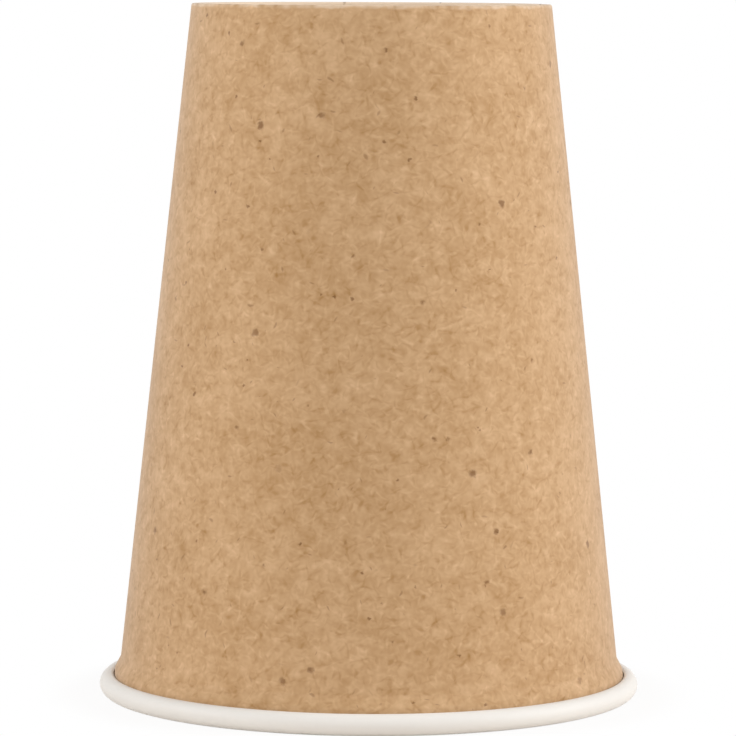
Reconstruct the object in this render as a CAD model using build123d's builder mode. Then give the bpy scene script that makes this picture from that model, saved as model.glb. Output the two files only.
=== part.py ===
"""Single-wall kraft paper cup, standing mouth down on its rolled rim.

Two pieces of coated board make the cup. The side wall is one blank, wrapped into a cone and sealed along
a lap at the back, with its wide edge rolled outward into the rim and its narrow edge folded inward round
the bottom's skirt. The bottom is a disc whose edge is turned into that skirt. All sizes are millimetres.
The origin is on the axis, in the plane that the rim rests on, and +Z points to the foot.
"""

import os
from math import asin, atan2, cos, degrees, hypot, radians, sin, tan

from build123d import *

# Overall sizes of the cup
rim_diameter = 90.0
base_diameter = 59.6
cup_height = 115.0

# Side wall: board, flare into the rolled rim, folded foot and lapped seam
wall_paper = 0.36
flare_top = 6.3
flare_end = 3.8
flare_out = 0.75
lip_radius = 0.5
curl_height = 3.5
crest_land = 0.1
tuck_gap = 0.15
tuck_turn = 40.0
fold_crease = 0.04
lap_width = 7.0
lap_ramp = 2.5
groove_share = 0.8
cut_overrun = 0.2

# Bottom: board, recess under the foot, and the bend into the skirt
bottom_paper = 0.28
recess_depth = 9.0
skirt_bend = 0.8

# Clearances where the skirt lies in the folded foot
seal_gap = 0.03
skirt_end_gap = 0.15
hem_end_gap = 1.2

# Board bends in short flats: degrees turned by one flat in the rolled rim, the skirt's bend and a tight fold
roll_flat_turn = 30.0
skirt_flat_turn = 45.0
fold_flat_turn = 90.0

# The wall runs straight from the foot to a short flare, then on beside that line, as a tangent, into the lip
roll_radius = (curl_height - wall_paper) / 2
roll_z = curl_height / 2
roll_r = rim_diameter / 2 - curl_height / 2 - crest_land
lip_z = wall_paper / 2 + lip_radius
foot_z = cup_height - wall_paper / 2
foot_r = base_diameter / 2 - wall_paper / 2
foot_to_lip = hypot(roll_r - foot_r, foot_z - lip_z)
lean = atan2(roll_r - foot_r, foot_z - lip_z) - asin((lip_radius + flare_out) / foot_to_lip)


def wall_r(z, outward=0.0):
    """Radius at height z of a line that runs beside the wall's straight centreline, a distance outward."""
    return foot_r + (foot_z - z) * tan(lean) + outward / cos(lean)


def flare(z):
    """Distance outward from its straight line that the flare has taken the wall at height z."""
    flared_share = (flare_top - z) / (flare_top - flare_end)
    return flare_out * min(max(flared_share, 0), 1)


def bent(line, flat_turn):
    """The line's straight runs, with each arc bent into flats that turn by about flat_turn degrees."""
    points = [line @ 0]
    for edge in line.edges():
        flats = 1
        if edge.geom_type == GeomType.CIRCLE:
            flats = max(1, round(degrees(edge.length / edge.radius) / flat_turn))
        points += [edge @ (flat / flats) for flat in range(1, flats + 1)]
    return Polyline(*points)


# Layers of the folded foot, as distances outward from the wall's centreline
outer_face = wall_paper / 2
inner_face = -wall_paper / 2
skirt_middle = inner_face - seal_gap - bottom_paper / 2
hem_middle = skirt_middle - bottom_paper / 2 - seal_gap - wall_paper / 2

# Heights of the bottom and of the edges that lie beside it
disc_z = cup_height - recess_depth - bottom_paper / 2
skirt_bend_z = disc_z + bottom_paper / 2 + skirt_bend
skirt_end_z = cup_height - wall_paper - skirt_end_gap
hem_end_z = skirt_bend_z + hem_end_gap

# Side wall: one board from the hem's free edge, round the foot, down the wall and its flare, into the roll
lip_start_z = lip_z - lip_radius * sin(lean)
fold_radius = fold_crease + wall_paper / 2
tuck_z = curl_height - wall_paper
tuck_reach = roll_r + crest_land - wall_r(tuck_z, outer_face + flare(tuck_z)) - tuck_gap
tuck_radius = tuck_reach / sin(radians(tuck_turn)) - wall_paper / 2


def lap_point(z, outward, along):
    """Point at the back of the wall, a distance outward from its outer face and along its girth."""
    face = wall_r(z, outer_face + flare(z))
    return Vector(face + outward, 0).rotate(Axis.Z, 90 + degrees(along / face))


def lap_arc(z, outward, start, end):
    """Arc round the back of the wall from one place along its girth to another."""
    return ThreePointArc(*(lap_point(z, outward, along) for along in (start, (start + end) / 2, end)))


with BuildPart() as side_wall:
    with BuildSketch(Plane.XZ):
        with BuildLine():
            hem_and_wall = FilletPolyline(
                (wall_r(hem_end_z, hem_middle), hem_end_z),
                (wall_r(foot_z, hem_middle), foot_z),
                (wall_r(foot_z), foot_z),
                (wall_r(flare_top), flare_top),
                radius=fold_radius,
                mode=Mode.PRIVATE,
            )
            flared = [(wall_r(z, flare(z)), z) for z in (flare_top, flare_end, lip_start_z)]
            down_wall = hem_and_wall % 1
            lip = JernArc(flared[-1], down_wall, lip_radius, 90 - degrees(lean), mode=Mode.PRIVATE)
            land_end = lip @ 1 + (crest_land, 0)
            roll = JernArc(land_end, lip % 1, roll_radius, 180, mode=Mode.PRIVATE)
            tuck = JernArc(roll @ 1, roll % 1, tuck_radius, tuck_turn, mode=Mode.PRIVATE)
            bent(hem_and_wall, fold_flat_turn)
            Polyline(*flared)
            bent(lip, roll_flat_turn)
            Line(lip @ 1, land_end)
            bent(roll, roll_flat_turn)
            bent(tuck, roll_flat_turn)
        trace(line_width=wall_paper)
    revolve(axis=Axis.Z)

    # Lap: the outer end of the blank lies over the inner end and ramps down beside it onto the wall
    lap_edge = lap_width / 2
    ramp_edge = -lap_width / 2
    ramp_end = ramp_edge - lap_ramp
    for z in (roll_z, flare_end, flare_top, foot_z - fold_radius):
        with BuildSketch(Plane.XY.offset(z)):
            with BuildLine():
                over = lap_arc(z, wall_paper, lap_edge, ramp_edge)
                under = lap_arc(z, inner_face, lap_edge, ramp_end)
                Line(over @ 0, under @ 0)
                Polyline(over @ 1, lap_point(z, 0, ramp_end), under @ 1)
            make_face()
    loft(ruled=True)

    # Groove inside the cup, where the outer end leaves the raw edge of the inner end
    groove_depth = groove_share * wall_paper
    for z in (0, flare_end, flare_top, disc_z):
        with BuildSketch(Plane.XY.offset(z)):
            with BuildLine():
                Polyline(
                    lap_point(z, groove_depth - wall_paper, ramp_edge),
                    lap_point(z, -wall_paper - cut_overrun, ramp_edge),
                    lap_point(z, -wall_paper - cut_overrun, ramp_end),
                    close=True,
                )
            make_face()
    loft(ruled=True, mode=Mode.SUBTRACT)

side_wall.part.label = "side_wall"

# Bottom: a disc turned up at its edge into a skirt that lies in the folded foot
with BuildPart() as bottom_disc:
    with BuildSketch(Plane.XZ):
        with BuildLine():
            disc_and_skirt = FilletPolyline(
                (0, disc_z),
                (wall_r(disc_z, skirt_middle), disc_z),
                (wall_r(skirt_end_z, skirt_middle), skirt_end_z),
                radius=skirt_bend + bottom_paper / 2,
                mode=Mode.PRIVATE,
            )
            bent(disc_and_skirt, skirt_flat_turn)
        trace(line_width=bottom_paper)
    revolve(axis=Axis.Z)

bottom_disc.part.label = "bottom_disc"

os.makedirs("parts", exist_ok=True)
export_step(side_wall.part, "parts/side_wall.step")
export_step(bottom_disc.part, "parts/bottom_disc.step")
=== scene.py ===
"""Kraft paper cup, mouth down on its rolled rim: side wall, bottom, floor, light and camera, in metres."""

from math import asin, atan2, cos, hypot, pi, radians, sin, tan

import bmesh
import bpy
import numpy as np
from mathutils import Matrix, Vector


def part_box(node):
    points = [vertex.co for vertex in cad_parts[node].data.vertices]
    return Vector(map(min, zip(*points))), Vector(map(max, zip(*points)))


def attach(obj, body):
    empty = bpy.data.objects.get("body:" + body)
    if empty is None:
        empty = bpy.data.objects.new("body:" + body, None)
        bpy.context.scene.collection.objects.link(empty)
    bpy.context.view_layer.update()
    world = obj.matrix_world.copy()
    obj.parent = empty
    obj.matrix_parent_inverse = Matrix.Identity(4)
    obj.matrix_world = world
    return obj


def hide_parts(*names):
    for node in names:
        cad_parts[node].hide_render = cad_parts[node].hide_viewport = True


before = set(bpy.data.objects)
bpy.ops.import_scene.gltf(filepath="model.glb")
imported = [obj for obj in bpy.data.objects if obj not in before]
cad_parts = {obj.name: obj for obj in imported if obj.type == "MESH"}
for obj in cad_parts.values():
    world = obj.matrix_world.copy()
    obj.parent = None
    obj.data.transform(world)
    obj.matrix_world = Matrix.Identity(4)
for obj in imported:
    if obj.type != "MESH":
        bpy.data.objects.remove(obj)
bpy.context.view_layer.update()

# Side wall: one fan-shaped blank of kraft board, brown outside and coated white inside, wrapped into a cone
# and sealed in a lap down the back. Its narrow edge is folded in round the bottom's skirt and knurled. Its
# wide edge is rolled outward into the rim, which turns the white side out.
mm = 0.001
wall_paper = 0.36 * mm
base_radius = 29.8 * mm
flare_top = 6.3 * mm
flare_end = 3.8 * mm
flare_out = 0.75 * mm
flare_turn = radians(21)
lip_radius = 0.5 * mm
curl_height = 3.5 * mm
crest_land = 0.1 * mm
tuck_gap = 0.15 * mm
tuck_turn = radians(40)
fold_radius = 0.22 * mm
bottom_paper = 0.28 * mm
seal_gap = 0.03 * mm
skirt_bend = 0.8 * mm
hem_end_gap = 1.2 * mm
lap_width = 7 * mm
lap_ramp = 2.5 * mm
lap_lift = 0.37 * mm
press_fade = 1 * mm
edge_press = 0.1
flute_count = 90
flute_depth = 0.11 * mm
flute_fade = (0.55, 0.95)
cut_corner = radians(50)

rim_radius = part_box("side_wall")[1][0]
cup_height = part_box("side_wall")[1][2]
disc_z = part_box("bottom_disc")[0][2] + bottom_paper / 2
half_paper = wall_paper / 2

# The middle of the wall runs straight from the foot to a flare, then on beside that line into the roll
roll_radius = (curl_height - wall_paper) / 2
roll_r = rim_radius - curl_height / 2 - crest_land
lip_z = half_paper + lip_radius
foot_z = cup_height - half_paper
foot_r = base_radius - half_paper
foot_to_lip = hypot(roll_r - foot_r, foot_z - lip_z)
lean = atan2(roll_r - foot_r, foot_z - lip_z) - asin((lip_radius + flare_out) / foot_to_lip)


def wall_r(z, outward=0.0):
    """Radius at height z of a line beside the middle of the straight wall, a distance outward from it."""
    return foot_r + (foot_z - z) * tan(lean) + outward / cos(lean)


def arc(radius, turn, steps):
    """A move round an arc of a section, as its length, its turn and its steps."""
    return radius * abs(turn), turn, steps


def walk(place, heading, moves):
    """Middle line of a section of board, as r + iz: its points, their headings and the lengths to them."""
    places, bearings, lengths = [place], [heading], [0.0]
    for length, turn, steps in moves:
        bend = turn / steps
        chord = length / steps * np.sinc(bend / 2 / pi)
        for _ in range(steps):
            places.append(places[-1] + chord * np.exp(1j * (bearings[-1] + bend / 2)))
            bearings.append(bearings[-1] + bend)
            lengths.append(lengths[-1] + length / steps)
    return np.array(places), np.exp(1j * np.array(bearings)), np.array(lengths)


def smooth(values, low, high):
    """Eased step of the values, from 0 at low to 1 at high."""
    share = np.clip((values - low) / (high - low), 0, 1)
    return share * share * (3 - 2 * share)


# Section: from the hem's free edge over the foot, down the wall and its flare, round the roll to its cut edge
hem_middle = -(wall_paper + bottom_paper + 2 * seal_gap)
hem_end_z = disc_z + bottom_paper / 2 + skirt_bend + hem_end_gap
hem_trim = fold_radius * tan((pi / 2 + lean) / 2)
foot_trim = fold_radius * tan((pi / 2 - lean) / 2)
hem_length = (foot_z - hem_end_z) / cos(lean) - hem_trim
foot_land = -hem_middle / cos(lean) - hem_trim - foot_trim
wall_length = (foot_z - flare_top) / cos(lean) - foot_trim
flare_length = (flare_top - flare_end) / cos(lean)
flare_radius = (flare_length - flare_out / tan(flare_turn)) / tan(flare_turn / 2) / 2
flare_run = flare_out / sin(flare_turn) - 2 * flare_radius * tan(flare_turn / 2)
neck_length = (flare_end - lip_z + (lip_radius + flare_out) * sin(lean)) / cos(lean)
tuck_reach = roll_r + crest_land - wall_r(curl_height - wall_paper, half_paper + flare_out) - tuck_gap
tuck_radius = tuck_reach / sin(tuck_turn) - half_paper
hem_fold = arc(fold_radius, -(pi / 2 + lean), 5)
foot_fold = arc(fold_radius, -(pi / 2 - lean), 5)
moves = [
    (hem_length, 0, 10),
    hem_fold,
    (foot_land, 0, 1),
    foot_fold,
    (wall_length, 0, 44),
    arc(flare_radius, flare_turn, 4),
    (flare_run, 0, 2),
    arc(flare_radius, -flare_turn, 4),
    (neck_length, 0, 2),
    arc(lip_radius, pi / 2 - lean, 7),
    (crest_land, 0, 1),
    arc(roll_radius, pi, 16),
    arc(tuck_radius, tuck_turn, 4),
]
places, headings, lengths = walk(complex(wall_r(hem_end_z, hem_middle), hem_end_z), pi / 2 + lean, moves)

# Girth, from the inner cut end at the back round to the outer cut end that laps over it: turns and distance
lap_steps, ramp_steps, round_steps = 8, 5, 4 * flute_count
lap_along = np.linspace(-lap_width / 2, lap_width / 2, lap_steps + 1)
ramp_along = np.linspace(-lap_width / 2 - lap_ramp, -lap_width / 2, ramp_steps + 1)
round_turns = np.linspace(0, 1, round_steps)[1:-1]
round_along = lap_along[-1] + (ramp_along[0] - lap_along[-1]) * round_turns
turns = np.concatenate([0 * lap_along, round_turns, 0 * ramp_along + 1, 0 * lap_along[1:] + 1])
along = np.concatenate([lap_along, round_along, ramp_along, lap_along[1:]])
angles = pi / 2 + 2 * pi * turns + along / places.real[:, None]

# Faces of the board, as distances to the kraft side of its middle: the outer end rises over the inner one in
# the lap, both are pressed thin in the fold of the foot, and a wheel has pressed flutes into the hem
outer_end = smooth(turns + along, 1 + ramp_along[0], 1 + ramp_along[-1])
near_cut = smooth(along, lap_width / 2 - press_fade, lap_width / 2)
inner_end = (turns == 0) * (1 - (1 - edge_press) * near_cut)
crest_length = hem_length + hem_fold[0] + foot_land / 2
folded_length = foot_land / 2 + hem_fold[0]
press = 1 - smooth(np.abs(lengths - crest_length), folded_length, folded_length + press_fade)[:, None]
lift = outer_end * (lap_lift + (half_paper - lap_lift) * press)
kraft_face = half_paper + outer_end * lap_lift * (1 - press) - inner_end * half_paper * press
white_face = -half_paper + lift
on_hem = 1 - smooth(lengths / hem_length, *flute_fade)[:, None]
kraft_face = kraft_face - flute_depth * on_hem * (0.5 + 0.5 * np.cos(flute_count * angles))


def formed_board(name, places, headings, angles, faces, cut_ends):
    """Mesh of a sheet of board with a left face, a right face and the cut ends named, and its quads' corners.

    A corner is its row along the section, its column round the girth, its side and the number of its part.
    """
    rows, columns = angles.shape
    row, column = np.mgrid[: rows - 1, : columns - 1].reshape(2, -1, 1)
    first_row, last_row = np.arange(rows - 1)[:, None], np.full((columns - 1, 1), rows - 1)
    first_column, last_column = np.arange(columns - 1)[:, None], np.full((rows - 1, 1), columns - 1)
    ahead, back = np.array([0, 1, 1, 0]), np.array([1, 0, 0, 1])
    across = np.array([0, 0, 1, 1])
    parts = {
        "left": (row + ahead, column + across, 0),
        "right": (row + ahead, column + across[::-1], 1),
        "start": (0 * last_row, first_column + ahead, across),
        "end": (last_row, first_column + back, across),
        "first": (first_row + back, 0 * last_column, across),
        "last": (first_row + ahead, last_column, across),
    }
    corners = []
    for number, part in enumerate(("left", "right", *cut_ends)):
        corners.append(np.stack(np.broadcast_arrays(*parts[part], number), -1))
    corners = np.concatenate(corners)

    points = []
    for face in faces:
        section = places[:, None] + 1j * headings[:, None] * face
        x = section.real * np.cos(angles)
        y = section.real * np.sin(angles)
        points.append(np.stack([x, y, section.imag], -1))
    quads = corners[..., 2] * angles.size + corners[..., 0] * columns + corners[..., 1]
    mesh = bpy.data.meshes.new(name)
    mesh.from_pydata(np.concatenate(points).reshape(-1, 3).tolist(), [], quads.tolist())
    piece = bpy.data.objects.new(name, mesh)
    bpy.context.collection.objects.link(piece)
    return piece, corners


def dress(piece, corners, finishes):
    """Gives each part of a board its finish, the last to its cut ends, and smooths all but cut corners."""
    for material in finishes:
        piece.data.materials.append(material)
    parts = np.minimum(corners[:, 0, 3], len(finishes) - 1)
    piece.data.polygons.foreach_set("material_index", parts.astype(np.int32))
    piece.data.shade_smooth()
    piece.data.set_sharp_from_angle(angle=cut_corner)


side_wall, corners = formed_board(
    "side_wall", places, headings, angles, (kraft_face, white_face), ("start", "end", "first", "last")
)

# Places on the flat blank, in millimetres, from the distance to the cone's point and the angle from the front
wall_start = hem_length + hem_fold[0] + foot_land + foot_fold[0]
point_to_hem = np.interp(wall_start, lengths, places.real) / sin(lean) - wall_start
reach = (point_to_hem + lengths[:, None]) / mm
fan = (angles - 3 * pi / 2) * sin(lean)
blank_places = np.stack([reach * np.sin(fan), reach * np.cos(fan)], -1)
blank_map = side_wall.data.uv_layers.new(name="blank")
blank_map.data.foreach_set("uv", blank_places[corners[..., 0], corners[..., 1]].ravel())

# Places in a baked picture: the kraft face has most of it, then the white face, then a strip for each cut
# end. The last two ends are cut along the section, so their strips follow its rows and not the columns.
picture_margin = 0.002
picture_bands = [(0.3, 0.998), (0.04, 0.29), (0.002, 0.006), (0.01, 0.014), (0.018, 0.022), (0.026, 0.03)]
row_share = lengths[corners[..., 0]] / lengths[-1]
column_share = corners[..., 1] / (len(turns) - 1)
part = corners[..., 3]
band = np.array(picture_bands)[part]
along_band = np.where(part < 4, column_share, row_share)
across_band = np.where(part < 2, row_share, corners[..., 2])
picture_u = picture_margin + (1 - 2 * picture_margin) * along_band
picture_v = band[..., 0] + (band[..., 1] - band[..., 0]) * across_band
picture_map = side_wall.data.uv_layers.new(name="OFBake")
picture_map.data.foreach_set("uv", np.stack([picture_u, picture_v], -1).ravel())


class Wire:
    """A value in a material's nodes: arithmetic on it adds Math nodes, and add() brings in any other node."""

    def __init__(self, tree, socket=None):
        self.tree = tree
        self.socket = socket

    def add(self, kind, settings, inputs, output=0):
        """A new node's output, with the node's settings made first and its inputs linked or filled in."""
        node = self.tree.nodes.new(kind)
        for name, value in settings.items():
            setattr(node, name, value)
        for name, value in inputs.items():
            if isinstance(value, Wire):
                self.tree.links.new(value.socket, node.inputs[name])
            else:
                node.inputs[name].default_value = value
        return Wire(self.tree, node.outputs[output] if node.outputs else None)

    def out(self, output):
        """Another output of the same node."""
        return Wire(self.tree, self.socket.node.outputs[output])

    def math(self, operation, first, second):
        """A Math node on two values."""
        return self.add("ShaderNodeMath", {"operation": operation}, {0: first, 1: second})

    def __add__(self, other):
        return self.math("ADD", self, other)

    def __sub__(self, other):
        return self.math("SUBTRACT", self, other)

    def __rsub__(self, other):
        return self.math("SUBTRACT", other, self)

    def __mul__(self, other):
        return self.math("MULTIPLY", self, other)

    __radd__ = __add__
    __rmul__ = __mul__


def new_finish(name):
    """An empty material, and the wire to hang its nodes on."""
    material = bpy.data.materials.new(name)
    material.use_nodes = True
    material.node_tree.nodes.clear()
    return material, Wire(material.node_tree)


def step(value, low, high):
    """Eased step of a value, from 0 at low to 1 at high."""
    easing = {"interpolation_type": "SMOOTHSTEP"}
    return value.add("ShaderNodeMapRange", easing, {"Value": value, "From Min": low, "From Max": high})


def tint(share, low, high):
    """Colour that goes from low to high with the share."""
    return share.add("ShaderNodeMix", {"data_type": "RGBA"}, {0: share, 6: low, 7: high}, 2)


def grain(place, size, detail=0.0, roughness=0.55):
    """Noise about zero, with lumps of about this size and, by the detail, finer ones on them."""
    inputs = {"Vector": place, "Scale": 1 / size, "Detail": detail, "Roughness": roughness}
    return place.add("ShaderNodeTexNoise", {"noise_dimensions": "3D"}, inputs) - 0.5


def stirred(place, size, amount):
    """The place moved about by noise of that size, so that what is laid on it wanders."""
    lumps = {"Vector": place, "Scale": 1 / size}
    noise = place.add("ShaderNodeTexNoise", {"noise_dimensions": "3D"}, lumps)
    centring = {0: noise.out(1), 1: (0.5, 0.5, 0.5)}
    push = noise.add("ShaderNodeVectorMath", {"operation": "SUBTRACT"}, centring)
    moving = {0: push, 1: (amount, amount, amount), 2: place}
    return push.add("ShaderNodeVectorMath", {"operation": "MULTIPLY_ADD"}, moving)


def laid(place, bearing, length, width):
    """The place turned to a bearing and drawn out along it, for what lies that way in the sheet."""
    drawn = {"Vector": place, "Rotation": (0, 0, bearing), "Scale": (length, width, 1)}
    return place.add("ShaderNodeMapping", {"vector_type": "TEXTURE"}, drawn)


def fibres(place, bearing, length, width, thin):
    """Streaks laid along a bearing, 1 along a fibre's middle and 0 between: a higher thin leaves fewer."""
    soft_edge = 0.2
    streak = grain(laid(place, bearing, length, width), 1)
    return step(streak, thin, thin + soft_edge)


def specks(place, spacing, radius, share):
    """Flecks of bark: a share of the cells hold one, each with a size and a depth of its own.

    The red and green draws also place the fleck in its cell, so the blue one picks the cells that hold one.
    """
    smallest = 0.35
    soft_edge = 0.6
    cells = {"Vector": place, "Scale": 1 / spacing}
    distance = place.add("ShaderNodeTexVoronoi", {"voronoi_dimensions": "2D"}, cells)
    draws = distance.add("ShaderNodeSeparateColor", {}, {"Color": distance.out(1)})
    size = (smallest + (1 - smallest) * draws.out("Green")) * (radius / spacing)
    depth = step(draws.out("Blue"), 1 - share, 1 - share / 2)
    return step(size - distance, 0, soft_edge * radius / spacing) * depth


# Kraft side, with its sizes in millimetres: unbleached pulp in clouds and flocs, with paler and darker fibres
# lying all ways, flecks and slivers of bark, and a pale band along the fold of the foot, partly a rub of the
# knurling wheel and partly a painted highlight where the fold faces the light
kraft_dark = (0.305, 0.141, 0.022, 1)
kraft_pale = (0.785, 0.535, 0.32, 1)
# Pale of the fold of the foot: partly the wheel's rub, partly a painted highlight
rub_and_highlight_pale = (0.84, 0.68, 0.52, 1)
bark_brown = (0.16, 0.06, 0.01, 1)
dark_fibre = {"length": 2.3, "width": 0.8, "thin": 0.14}
pale_fibre = {"length": 1.95, "width": 0.74, "thin": 0.14}
small_fleck = {"spacing": 3.6, "radius": 0.45, "share": 0.13}
large_fleck = {"spacing": 11, "radius": 0.9, "share": 0.45}
sliver = {"spacing": 4, "radius": 0.24, "share": 0.5}
sliver_draw = 3.2
kraft, nodes = new_finish("kraft")
blank = nodes.add("ShaderNodeUVMap", {"uv_map": "blank"}, {})
wandering = stirred(blank, 3, 1.5)
clouds = grain(blank, 18, 4, 1.0)
flocs = grain(wandering, 2.4, 2, 0.7)
pulp = grain(blank, 0.6)
dark_fibres = sum(fibres(wandering, radians(bearing), **dark_fibre) for bearing in (12, 72, 128, 163))
pale_fibres = sum(fibres(wandering, radians(bearing), **pale_fibre) for bearing in (40, 100, 156, 191))
ragged = stirred(blank, 0.8, 1.1)
bark = specks(ragged, **small_fleck) + specks(ragged, **large_fleck)
slivers = sum(specks(laid(wandering, radians(bearing), sliver_draw, 1), **sliver) for bearing in (8, 65, 122))
from_point = blank.add("ShaderNodeVectorMath", {"operation": "LENGTH"}, {0: blank}, "Value")

# Distance from the crest of the fold, below zero on the hem and above it on the wall, where the pale rub and
# the painted highlight along the fold are patchy
from_crest = from_point - (point_to_hem + crest_length) / mm
uneven = from_crest + 1.2 * flocs
on_wall = step(from_crest, -0.2, 0.1)
hem_rub_and_highlight = (1 - on_wall) * step(uneven, -2.4, -0.7)
wall_rub_and_highlight = on_wall * (1 - step(uneven, 0.35, 0.8)) * step(clouds, -0.15, 0.15)
tone = 0.5 + 0.65 * clouds + 0.55 * flocs + 0.08 * pulp + 0.1 * pale_fibres - 0.12 * dark_fibres
# Painted highlight along the fold of the foot, partly the wheel's pale rub, laid over the kraft's tone
rubbed_and_highlit = tint(0.85 * hem_rub_and_highlight + 0.6 * wall_rub_and_highlight, tint(tone, kraft_dark, kraft_pale), rub_and_highlight_pale)
colour = tint(0.7 * bark + 0.4 * slivers, rubbed_and_highlit, bark_brown)
relief = flocs + 0.4 * pulp + 0.3 * pale_fibres + 0.2 * dark_fibres
bump = nodes.add("ShaderNodeBump", {}, {"Strength": 0.3, "Distance": 0.05 * mm, "Height": relief})
paper = {"Base Color": colour, "Roughness": 0.8 - 0.2 * flocs, "Normal": bump}
paper |= {"Specular IOR Level": 0.35, "Sheen Weight": 0.33, "Sheen Roughness": 0.45}
nodes.add("ShaderNodeOutputMaterial", {}, {"Surface": nodes.add("ShaderNodeBsdfPrincipled", {}, paper)})


def white_coating(name, white, shade):
    """White board under a thin clear film: faint clouds of pulp, a soft gloss and a slight orange peel."""
    material, nodes = new_finish(name)
    spot = nodes.add("ShaderNodeTexCoord", {}, {}, "Object")
    place = nodes.add("ShaderNodeVectorMath", {"operation": "SCALE"}, {0: spot, "Scale": 1 / mm})
    clouds = grain(place, 9, 3)
    pulp = grain(place, 0.9, 3)
    colour = tint(0.5 + 0.7 * clouds + 0.5 * pulp, shade, white)
    peel = clouds + 0.35 * pulp
    bump = nodes.add("ShaderNodeBump", {}, {"Strength": 0.25, "Distance": 0.1 * mm, "Height": peel})
    film = {"Base Color": colour, "Roughness": 0.56 + 0.16 * pulp, "Specular IOR Level": 0.4, "Normal": bump}
    nodes.add("ShaderNodeOutputMaterial", {}, {"Surface": nodes.add("ShaderNodeBsdfPrincipled", {}, film)})
    return material


lining = white_coating("white_lining", (0.845, 0.825, 0.79, 1), (0.795, 0.77, 0.73, 1))

# Cut ends: the open section of the board, where short pulp fibres stand out of the cut
cut_board, nodes = new_finish("cut_board")
spot = nodes.add("ShaderNodeTexCoord", {}, {}, "Object")
place = nodes.add("ShaderNodeVectorMath", {"operation": "SCALE"}, {0: spot, "Scale": 1 / mm})
fuzz = grain(place, 0.3, 3)
bump = nodes.add("ShaderNodeBump", {}, {"Strength": 0.5, "Distance": 0.05 * mm, "Height": fuzz})
colour = tint(0.5 + fuzz, (0.30, 0.18, 0.09, 1), (0.62, 0.43, 0.26, 1))
rough = {"Base Color": colour, "Roughness": 0.9 - 0.1 * fuzz, "Specular IOR Level": 0.2, "Normal": bump}
nodes.add("ShaderNodeOutputMaterial", {}, {"Surface": nodes.add("ShaderNodeBsdfPrincipled", {}, rough)})

dress(side_wall, corners, (kraft, lining, cut_board))
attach(side_wall, "root")
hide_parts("side_wall")

# Bottom: a disc of thinner board, coated white on both sides, stamped with its edge turned up into a skirt.
# The skirt is heat sealed between the wall and the folded foot, so the disc lies recessed in the foot. The
# drawing of its edge leaves small pleats in the bend, deeper and shallower in turn.
skirt_end_gap = 0.15 * mm
pleat_count = 46
pleat_depth = 0.05 * mm
pleat_reach = 3 * mm
pleat_swells = 5
weld_gap = 0.001 * mm

skirt_middle = -(half_paper + seal_gap + bottom_paper / 2)
skirt_radius = skirt_bend + bottom_paper / 2
skirt_end_z = cup_height - wall_paper - skirt_end_gap
skirt_trim = skirt_radius * tan((pi / 2 + lean) / 2)
disc_r = wall_r(disc_z, skirt_middle) - skirt_trim
skirt_length = (skirt_end_z - disc_z) / cos(lean) - skirt_trim
bend = arc(skirt_radius, pi / 2 + lean, 8)
places, headings, lengths = walk(complex(0, disc_z), 0, [(disc_r, 0, 16), bend, (skirt_length, 0, 8)])
angles = np.linspace(0, 2 * pi, 6 * pleat_count + 1) + 0 * lengths[:, None]
past_bend = smooth(lengths, disc_r + bend[0] / 2, disc_r + bend[0])
in_bend = smooth(lengths, disc_r - pleat_reach, disc_r) - past_bend
pleats = np.cos(pleat_count * angles) * (0.6 + 0.4 * np.cos(pleat_swells * angles)) * in_bend[:, None]
outer_face = bottom_paper / 2 - pleat_depth * (0.5 + 0.5 * pleats) * in_bend[:, None]
drink_face = -bottom_paper / 2 + 0 * pleats

bottom, corners = formed_board("bottom_disc", places, headings, angles, (outer_face, drink_face), ("end",))
coated = white_coating("white_board", (0.84, 0.815, 0.77, 1), (0.77, 0.74, 0.69, 1))
dress(bottom, corners, (coated, coated, cut_board))
welded = bmesh.new()
welded.from_mesh(bottom.data)
bmesh.ops.remove_doubles(welded, verts=welded.verts, dist=weld_gap)
welded.to_mesh(bottom.data)
welded.free()
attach(bottom, "root")
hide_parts("bottom_disc")

# Floor: a wide sheet of matt white paper, which the cup shades softly and the camera sees as white.
# Near the cup it keeps some of the shade, and further out it is plain white.
floor_size = 12.0
floor_white = (0.88, 0.82, 0.76, 1)
shade_kept = 0.08
shade_near = 0.0455
shade_far = 0.056
bpy.ops.mesh.primitive_plane_add(size=floor_size)
floor = bpy.context.active_object
floor.name = "floor"


def seen_directly(nodes):
    """1 on the rays that the camera follows, straight, by a gloss or through a clear thing, and else 0."""
    camera = nodes.add("ShaderNodeLightPath", {}, {}, "Is Camera Ray")
    return camera + camera.out("Is Glossy Ray") + camera.out("Is Transmission Ray")


floor_paper, nodes = new_finish("floor_paper")
position = nodes.add("ShaderNodeNewGeometry", {}, {}, "Position")
distance = position.add("ShaderNodeVectorMath", {"operation": "LENGTH"}, {0: position}, "Value")
lit_share = seen_directly(nodes) * (1 - shade_kept + shade_kept * step(distance, shade_near, shade_far))
matt = nodes.add("ShaderNodeBsdfDiffuse", {}, {"Color": floor_white})
glow = nodes.add("ShaderNodeEmission", {}, {"Color": (1, 1, 1, 1), "Strength": 1.0})
surface = nodes.add("ShaderNodeMixShader", {}, {0: lit_share, 1: matt, 2: glow})
nodes.add("ShaderNodeOutputMaterial", {}, {"Surface": surface})
floor.data.materials.append(floor_paper)

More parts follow.
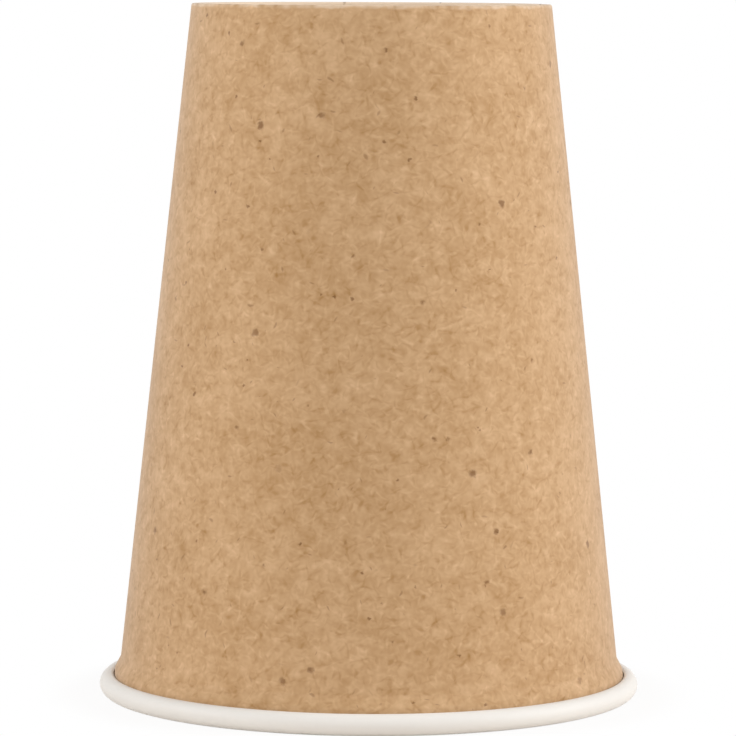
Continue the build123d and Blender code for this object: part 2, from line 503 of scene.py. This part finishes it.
# Light: a white room, a large soft box on each side with the right one stronger, a weak one in front and one
# above the foot, all turned to the middle of the cup.
room_fill = 0.35
box_size = 0.5
cup_middle = Vector((0, 0, cup_height / 2))
world = bpy.data.worlds.new("white_room")
world.use_nodes = True
world.node_tree.nodes.clear()
bpy.context.scene.world = world
nodes = Wire(world.node_tree)
fill = nodes.add("ShaderNodeBackground", {}, {"Color": (1, 1, 1, 1), "Strength": room_fill})
white = nodes.add("ShaderNodeBackground", {}, {"Color": (1, 1, 1, 1), "Strength": 1.0})
surface = nodes.add("ShaderNodeMixShader", {}, {0: seen_directly(nodes), 1: fill, 2: white})
nodes.add("ShaderNodeOutputWorld", {}, {"Surface": surface})


def soft_box(name, place, power):
    """A square soft box at a place, turned to the middle of the cup."""
    lamp = bpy.data.lights.new(name, "AREA")
    lamp.shape = "SQUARE"
    lamp.size = box_size
    lamp.energy = power
    box = bpy.data.objects.new(name, lamp)
    bpy.context.collection.objects.link(box)
    box.location = place
    box.rotation_euler = (cup_middle - Vector(place)).to_track_quat("-Z", "Y").to_euler()


soft_box("right_box", (0.9, -0.12, 0.48), power=6.7)
soft_box("left_box", (-0.88, -0.2, 0.48), power=4.2)
soft_box("front_box", (-0.2, -0.88, 0.48), power=1.8)
soft_box("top_box", (0, 0, 1.1), power=0.8)

# Camera: a long lens a little above the foot's plane, tipped down at the cup. It is turned and rolled a very
# little, so that the cup stands in the frame as it does in the photograph.
camera_place = (0, -0.73635, 0.12186)
camera_pitch = radians(5.23)
camera_yaw = 0.00047
camera_roll = 0.0045
lens = bpy.data.cameras.new("camera")
lens.lens = 217.0
lens.sensor_width = 36.0
camera = bpy.data.objects.new("camera", lens)
bpy.context.collection.objects.link(camera)
aim = Matrix.Rotation(camera_yaw, 4, "Z") @ Matrix.Rotation(pi / 2 - camera_pitch, 4, "X")
camera.matrix_world = Matrix.Translation(camera_place) @ aim @ Matrix.Rotation(camera_roll, 4, "Z")
bpy.context.scene.camera = camera
bpy.context.scene.view_settings.view_transform = "Standard"
